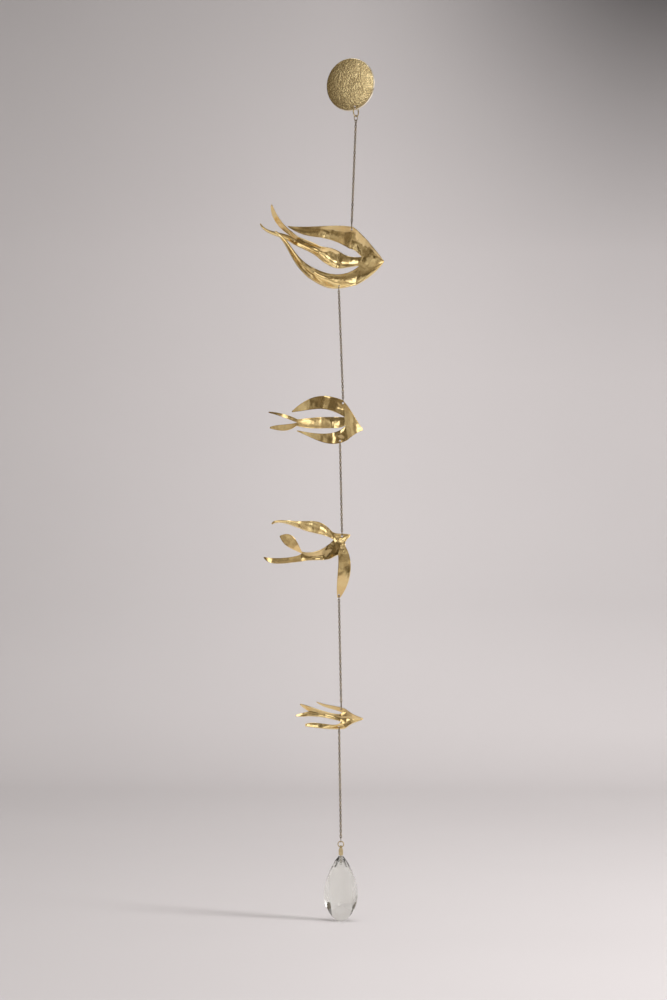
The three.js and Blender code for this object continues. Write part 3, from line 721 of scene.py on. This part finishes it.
def make_ring(name, centre, form, level):
    """A jump ring: round wire bent to a ring, with the slit where its ends meet."""
    radius, wire = form["radius"], form["wire"]
    angle = radians(360 - SLIT_TURN / radius)
    deselect()
    bpy.ops.mesh.primitive_circle_add(
        vertices=16, radius=wire / 2 * MM, fill_type="NGON", location=(radius * MM, 0, 0),
        rotation=(pi / 2, 0, 0))
    ring = settle(made(name))

    def sweep_round():
        bpy.ops.mesh.spin(steps=RING_STEPS, angle=angle, center=(0, 0, 0), axis=UPRIGHT)

    edit(ring, sweep_round, weld(), outward)
    ring.data.transform(Matrix.Rotation(radians(form["slit_at"]), 4, "Z"))
    out = level.cross(UPRIGHT)
    basis = Matrix((level, UPRIGHT, out)).transposed().to_4x4()
    ring.data.transform(Matrix.Translation(centre * MM) @ basis)
    soften(ring, wire / 12, 50)
    smooth(ring)
    return ring


# Chains

def make_link(name, form):
    """One oval link of round wire, lying in the XZ plane."""
    length, width, wire = form["length"], form["width"], form["wire"]
    deselect()
    bpy.ops.mesh.primitive_torus_add(
        major_segments=form["around"], minor_segments=form["section"], major_radius=(width - wire) / 2 * MM,
        minor_radius=wire / 2 * MM, rotation=(pi / 2, 0, 0))
    link = settle(made(name))
    stretch = (length - width) / 2 * MM
    for v in link.data.vertices:
        if abs(v.co.z) > wire / 2 * MM:
            v.co.z += stretch if v.co.z > 0 else -stretch
    for f in link.data.polygons:
        f.use_smooth = True
    return link


def copy_of(link, name, matrix):
    twin = link.copy()
    twin.data = link.data.copy()
    twin.name = name
    bpy.context.scene.collection.objects.link(twin)
    twin.data.transform(matrix)
    return twin


def across(plane):
    return Vector((-plane.y, plane.x, 0))


def hold(point, level, wire):
    """The place of a link that hangs on a ring's wire: its plane, and how far it reaches past the wire."""
    reach = (wire + END_LINK["wire"]) / 2
    return {"point": point, "plane": across(level), "reach": reach, "shift": NO_SHIFT}


def below(point, chain):
    drop, lean = chain
    return point + Vector((lean, 0, -drop))


def end_link(place, way, name):
    half = (END_LINK["length"] - END_LINK["wire"]) / 2
    centre = place["point"] + place["shift"] * way
    centre.z += way * (half - place["reach"])
    far = centre.copy()
    far.z += way * half
    level = place["plane"]
    out = level.cross(UPRIGHT)
    basis = Matrix((level, -out, UPRIGHT)).transposed().to_4x4()
    return far, copy_of(patterns["end"], name, Matrix.Translation(centre * MM) @ basis)


def make_chain(name, top, bottom):
    start, upper = end_link(top, -1, name + "_top")
    end, lower = end_link(bottom, 1, name + "_bottom")
    along = end - start
    hook = (END_LINK["wire"] + LINK["wire"]) / 2 - (LINK["length"] - LINK["wire"] - LINK["pitch"]) / 2
    way = along.normalized()
    start, end = start - way * hook, end + way * hook
    along = end - start
    count = round(along.length / LINK["pitch"])
    tilt = (-UPRIGHT).rotation_difference(way).to_matrix().to_4x4()
    parts = [upper, lower]
    for i in range(count):
        centre = start + along * ((i + 0.5) / count)
        quarter = Matrix.Rotation(LINK_TURN + (pi / 2) * (i % 2), 4, "Z")
        pose = Matrix.Translation(centre * MM) @ tilt @ quarter
        parts.append(copy_of(patterns["link"], f"{name}_{i}", pose))
    return join(name + "_links", parts)


# Swallows

def cubic(start, handles, t):
    first, second, end = (np.array(h, float) for h in handles)
    t = t[:, None]
    early = start * (1 - t) ** 3 + 3 * first * t * (1 - t) ** 2
    return early + 3 * second * t ** 2 * (1 - t) + end * t ** 3


def stage_places(form, start, rows, end_shares=None, bend=None):
    """The places [behind, near, above] of a stage, row by row from its start row."""
    count = len(start) - 1
    flat = start[:, [0, 2]]
    first = np.linalg.norm(flat - flat[0], axis=1) / np.linalg.norm(flat[-1] - flat[0])
    end = np.linspace(0, 1, count + 1) if end_shares is None else end_shares
    t = np.linspace(0, 1, rows + 1)
    upper = cubic(flat[0], form["upper"], t)[:, None]
    lower = cubic(flat[-1], form["lower"], t)[:, None]
    share = first + (end - first) * t[:, None]
    place = upper + (lower - upper) * share[..., None]
    if bend is not None:
        place = place + bend * (t ** 2)[:, None, None]
    upper_near, lower_near = form["near"]
    far = upper_near + (lower_near - upper_near) * end + form["cup"] * 4 * end * (1 - end)
    near = start[:, 1] + (far - start[:, 1]) * t[:, None] + form["bow"] * (4 * t * (1 - t))[:, None]
    return np.stack([place[..., 0], near, place[..., 1]], axis=-1)


def lay_grid(name, places, scale):
    """A grid whose points are moved to their places, in metres, with the beak at the origin."""
    rows, columns = places.shape[0] - 1, places.shape[1] - 1
    deselect()
    bpy.ops.mesh.primitive_grid_add(x_subdivisions=columns, y_subdivisions=rows, size=1)
    patch = made(name)
    for v in patch.data.vertices:
        behind, near, above = places[round((v.co.y + 0.5) * rows), round((v.co.x + 0.5) * columns)]
        v.co = Vector((-behind, -near, above)) * scale
    return patch


def swallow_sheet(name, form):
    """The middle surface of a swallow: head, two wings, body and forked tail in one sheet."""
    scale = form["length"] / 100 * MM
    count = sum(ACROSS.values())
    half = 50 * BEAK_WIDTH / form["length"]
    beak = np.array([(0, 0, half * (1 - 2 * j / count)) for j in range(count + 1)])
    corners = np.array([form["head"]["upper"][2], *form["notches"], form["head"]["lower"][2]], float)
    neckline = [corners[0]]
    for k, cells in enumerate(ACROSS.values()):
        neckline += [corners[k] + (corners[k + 1] - corners[k]) * j / cells for j in range(1, cells + 1)]
    neckline = np.array(neckline)
    chord = corners[3] - corners[0]
    shares = (neckline - corners[0]) @ chord / (chord @ chord)
    bend = neckline - corners[0] - shares[:, None] * chord
    patches = []

    def limb(stages, start, rows, end_shares=None, bend=None):
        for form_of_stage in stages:
            places = stage_places(form_of_stage, start, rows, end_shares, bend)
            patches.append(lay_grid(f"{name}_{len(patches)}", places, scale))
            start = places[-1]
        return start

    shoulder = limb([form["head"]], beak, ROWS["head"], shares, bend)
    body_at = ACROSS["wing"]
    lower_at = body_at + ACROSS["body"]
    limb(form["wing"], shoulder[: body_at + 1], ROWS["wing"])
    limb(form["lower_wing"], shoulder[lower_at:], ROWS["lower_wing"])
    fork = ACROSS["body"] // 2
    split = np.interp(np.arange(ACROSS["body"] + 1), [0, fork, ACROSS["body"]], [0, form["fork"], 1])
    rump = limb(form["body"], shoulder[body_at: lower_at + 1], ROWS["body"], split)
    limb(form["tail"][:1], rump[: fork + 1], ROWS["tail"])
    limb(form["tail"][1:], rump[fork:], ROWS["tail"])
    sheet = join(name, patches)
    edit(sheet, weld(2e-6), outward)
    return sheet


def on_sheet(sheet, x, z):
    hit, point, normal, _ = sheet.ray_cast(Vector((x, -1, z)), Vector((0, 1, 0)))
    if not hit:
        raise ValueError(f"a hole lies off {sheet.name}")
    return point / MM, normal


def in_hole(point, normal):
    """The place of a link that passes through a hole in a tilted sheet."""
    plane = Vector((normal.x, normal.y, 0)).normalized()
    slope = -normal.z / (normal.x ** 2 + normal.y ** 2) ** 0.5
    return {"point": point, "plane": plane, "reach": 0, "shift": plane * (slope * SHEET_HOLE["inset"] / 2)}


def fold_height(x, z, fold, scale):
    """How far a fold lifts the sheet at a place behind and above the beak, in millimetres."""
    (start_x, start_z), (end_x, end_z) = (
        (-behind * scale, above * scale) for behind, above in (fold["start"], fold["end"]))
    length = ((end_x - start_x) ** 2 + (end_z - start_z) ** 2) ** 0.5
    along_x, along_z = (end_x - start_x) / length, (end_z - start_z) / length
    along = (x - start_x) * along_x + (z - start_z) * along_z
    off = (x - start_x) * along_z - (z - start_z) * along_x
    width = fold["right"] if off > 0 else fold["left"]
    beyond = max(0, -along, along - length)
    return fold["height"] * max(0, 1 - abs(off) / width) * max(0, 1 - beyond / width)


def bend_by_hand(sheet, form, beak, holes):
    """Folds the sheet along its creases and dents it slightly, but leaves it as it is at the holes."""
    for v in sheet.data.vertices:
        place = v.co / MM
        x, z = place.x - beak.x, place.z - beak.z
        lift = sum(fold_height(x, z, fold, form["length"] / 100) for fold in form["creases"])
        lift += DENT["height"] * noise.noise(place / DENT["size"])
        clear = min((place - hole).length for hole in holes) / DENT["clear"]
        v.co.y -= lift * min(1, clear) ** 2 * MM


def make_swallow(name, form, hang):
    sheet = swallow_sheet(name, form)
    scale = form["length"] / 100 * MM
    hole, _ = on_sheet(sheet, -form["hang"][0] * scale, form["hang"][1] * scale)
    sheet.data.transform(Matrix.Translation((hang - hole) * MM))
    beak = hang - hole
    ends = []
    for behind, above in (form["hang"], form["chain"]):
        ends.append(on_sheet(sheet, beak.x * MM - behind * scale, beak.z * MM + above * scale))
    bend_by_hand(sheet, form, beak, [point for point, _ in ends])
    thick = sheet.modifiers.new("sheet", "SOLIDIFY")
    thick.thickness = SHEET * MM
    thick.offset = 0
    thick.material_offset_rim = 1
    sheet.data.materials.append(finishes["polished"])
    sheet.data.materials.append(finishes["cut_edge"])
    apply_modifiers(sheet)
    for point, normal in ends:
        drill(sheet, point, normal, SHEET_HOLE["radius"], 4 * SHEET)
    soften(sheet, 0.14, 55)
    smooth(sheet, 35)
    return sheet, in_hole(*ends[0]), in_hole(*ends[1])


# The bail and the crystal

def make_bail(fold):
    strip, room, height = BAIL["strip"], BAIL["room"], BAIL["height"]
    reach = room + strip / 2
    bend = -height / 3
    steps = 20
    line = [(-strip / 2, -height + strip / 2), (-reach, bend)]
    line += [(-reach * cos(a), reach * sin(a)) for a in np.linspace(0, pi, steps + 1)]
    line += [(reach, bend), (strip / 2, -height + strip / 2)]
    deselect()
    bpy.ops.mesh.primitive_grid_add(x_subdivisions=4, y_subdivisions=len(line) - 1, size=1)
    loop = made("folded_bail")
    for v in loop.data.vertices:
        y, z = line[round((v.co.y + 0.5) * (len(line) - 1))]
        share = min(max(z / bend, 0), 1)
        width = BAIL["top_width"] + (BAIL["width"] - BAIL["top_width"]) * share - strip / 2
        v.co = Vector((v.co.x * width, y, z)) * MM
    thick = loop.modifiers.new("strip", "SOLIDIFY")
    thick.thickness = strip * MM
    thick.offset = 0
    apply_modifiers(loop)
    soften(loop, 0.12, 50)
    deselect()
    bpy.ops.mesh.primitive_cylinder_add(
        vertices=20, radius=PEG["radius"] * MM, depth=PEG["length"] * MM,
        location=Vector((0, 0, -height + (strip - PEG["length"]) / 2)) * MM)
    peg = settle(made("peg"))
    soften(peg, 0.15, 50)
    cut(loop, peg, "UNION")
    loop.data.transform(Matrix.Translation(fold * MM))
    smooth(loop, 40)
    return loop


def pear_share(share):
    within = PEAR_TOP + (1 - PEAR_TOP) * share
    return sin(pi * within ** PEAR_LOW) ** PEAR_FULL if share < 1 else 0


def make_crystal(top):
    """A smooth pear, drawn down level by level, cut flat by the facets and bored for the peg."""
    height, width, depth = CRYSTAL["height"], CRYSTAL["width"], CRYSTAL["depth"]
    deselect()
    bpy.ops.mesh.primitive_circle_add(vertices=PEAR_SIDES, radius=MM, fill_type="NGON")
    crystal = made("faceted_drop")
    choose(crystal)
    bpy.ops.object.mode_set(mode="EDIT")
    bpy.ops.mesh.select_all(action="SELECT")
    wide = pear_share(0)
    bpy.ops.transform.resize(value=(wide * width / 2, wide * PEAR_DEPTH / 2, 1), center_override=(0, 0, 0))
    for level in range(1, PEAR_LEVELS):
        past, share = (sin(pi / 2 * (level - step) / PEAR_LEVELS) for step in (1, 0))
        step_down = (0, 0, (past - share) * height * MM)
        bpy.ops.mesh.extrude_region_move(TRANSFORM_OT_translate={"value": step_down})
        change = pear_share(share) / wide
        wide = pear_share(share)
        bpy.ops.transform.resize(value=(change, change, 1), center_override=(0, 0, 0))
    bpy.ops.mesh.select_all(action="SELECT")
    outward()
    for (x, y, share), way in FACET_CUTS:
        place = Vector((x * width / 2, y * depth / 2, -share * height)) * MM
        bpy.ops.mesh.select_all(action="SELECT")
        bpy.ops.mesh.bisect(plane_co=place, plane_no=way, use_fill=True, clear_outer=True)
    bpy.ops.mesh.select_all(action="SELECT")
    outward()
    bpy.ops.object.mode_set(mode="OBJECT")
    drill(crystal, Vector((0, 0, 0)), (0, 0, 1), CRYSTAL["bore"], 2 * (PEG["length"] + 2 * GAP), 24)
    foot = min(v.co.z for v in crystal.data.vertices)
    for v in crystal.data.vertices:
        v.co.z *= -height * MM / foot
    crystal.data.transform(Matrix.Translation(top * MM))
    smooth(crystal, 9)
    return crystal


def finish_piece(piece, slot, *nodes):
    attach(piece, "root")
    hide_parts(*nodes)


def dress(piece, finish):
    piece.data.materials.clear()
    piece.data.materials.append(finish)


# The scene

bpy.context.scene.view_settings.view_transform = "Standard"
deselect()
place_camera()
light_room()

tones = brass_tone_group()
finishes = {
    "hammered": brass(
        "hammered_brass", tones,
        {"Bright": (0.82, 0.665, 0.37, 1), "Deep": (0.48, 0.34, 0.15, 1), "Broad Size": 260, "Fine Size": 900,
         "Tarnish": 0.8, "Smoothest": 0.16, "Roughest": 0.32}, hammered_relief),
    "polished": brass(
        "polished_brass", tones,
        {"Bright": (0.84, 0.655, 0.33, 1), "Deep": (0.75, 0.49, 0.19, 1), "Broad Size": 70, "Fine Size": 700,
         "Tarnish": 0.7, "Smoothest": 0.1, "Roughest": 0.24}, sheet_relief),
    "cut_edge": brass(
        "cut_edge_brass", tones,
        {"Bright": (0.95, 0.76, 0.4, 1), "Deep": (0.7, 0.48, 0.2, 1), "Broad Size": 200, "Fine Size": 1500,
         "Tarnish": 0.4, "Smoothest": 0.25, "Roughest": 0.4}, wire_relief),
    # A much paler brass for the disc's rim: a painted sheen for the bright highlight along its edge
    "painted_rim_sheen": brass(
        "worn_edge_brass", tones,
        {"Bright": (1.0, 0.92, 0.76, 1), "Deep": (0.6, 0.45, 0.2, 1), "Broad Size": 200, "Fine Size": 900,
         "Tarnish": 0.5, "Smoothest": 0.1, "Roughest": 0.25}, wire_relief),
    "wire": brass(
        "chain_brass", tones,
        {"Bright": (0.5, 0.4, 0.25, 1), "Deep": (0.03, 0.02, 0.01, 1), "Broad Size": 300, "Fine Size": 600,
         "Tarnish": 1.0, "Smoothest": 0.12, "Roughest": 0.3}, wire_relief),
    "fitting": brass(
        "fitting_brass", tones,
        {"Bright": (0.74, 0.61, 0.35, 1), "Deep": (0.22, 0.16, 0.08, 1), "Broad Size": 300, "Fine Size": 900,
         "Tarnish": 0.8, "Smoothest": 0.08, "Roughest": 0.22}, wire_relief),
    "crystal": crystal_material(),
}

patterns = {"link": make_link("link", LINK), "end": make_link("end_link", END_LINK)}
for pattern in patterns.values():
    dress(pattern, finishes["wire"])

disc = make_disc()
finish_piece(disc, "hammered_brass", "disc")

hole_at = Vector((DISC_HOLE["right"], -DISC["thickness"] / 2, -DISC_HOLE["down"]))
hole_at.rotate(Matrix.Rotation(radians(-DISC["turn"]), 3, "Z"))
ring_level = Vector((cos(radians(DISC_RING["turn"])), sin(radians(DISC_RING["turn"])), 0))
tilt = radians(DISC_RING["tilt"])
ring_centre = hole_at + DISC_RING["radius"] * (ring_level * sin(tilt) - UPRIGHT * cos(tilt))
disc_ring = make_ring("disc_jump_ring", ring_centre, DISC_RING, ring_level)
dress(disc_ring, finishes["fitting"])
finish_piece(disc_ring, "chain_brass", "disc_ring")

held = hold(ring_centre - UPRIGHT * DISC_RING["radius"], ring_level, DISC_RING["wire"])
for i, form in enumerate(SWALLOWS):
    swallow, hangs, carries = make_swallow(f"swallow_{i + 1}", form, below(held["point"], CHAINS[i]))
    chain = make_chain(f"chain_{i + 1}", held, hangs)
    finish_piece(chain, "chain_brass", f"chain_{i + 1}")
    finish_piece(swallow, "polished_brass", f"bird_{i + 1}")
    held = carries

ring_top = below(held["point"], CHAINS[-1])
chain = make_chain(f"chain_{len(CHAINS)}", held, hold(ring_top, LEVEL, DROP_RING["wire"]))
finish_piece(chain, "chain_brass", f"chain_{len(CHAINS)}")

drop_centre = ring_top - UPRIGHT * DROP_RING["radius"]
drop_ring = make_ring("drop_jump_ring", drop_centre, DROP_RING, LEVEL)
dress(drop_ring, finishes["fitting"])
finish_piece(drop_ring, "chain_brass", "drop_ring")

fold_at = drop_centre - UPRIGHT * DROP_RING["radius"]
bail = make_bail(fold_at)
dress(bail, finishes["fitting"])
finish_piece(bail, "chain_brass", "bail")

crystal = make_crystal(fold_at - UPRIGHT * (BAIL["height"] + GAP))
dress(crystal, finishes["crystal"])
finish_piece(crystal, "clear_crystal", "crystal_drop")

for pattern in patterns.values():
    bpy.data.objects.remove(pattern)

studio_sweep(cad_box[0][2] / MM - SWEEP["below"], sweep_material())
for name, lamp in LAMPS.items():
    soft_light(name, *lamp)
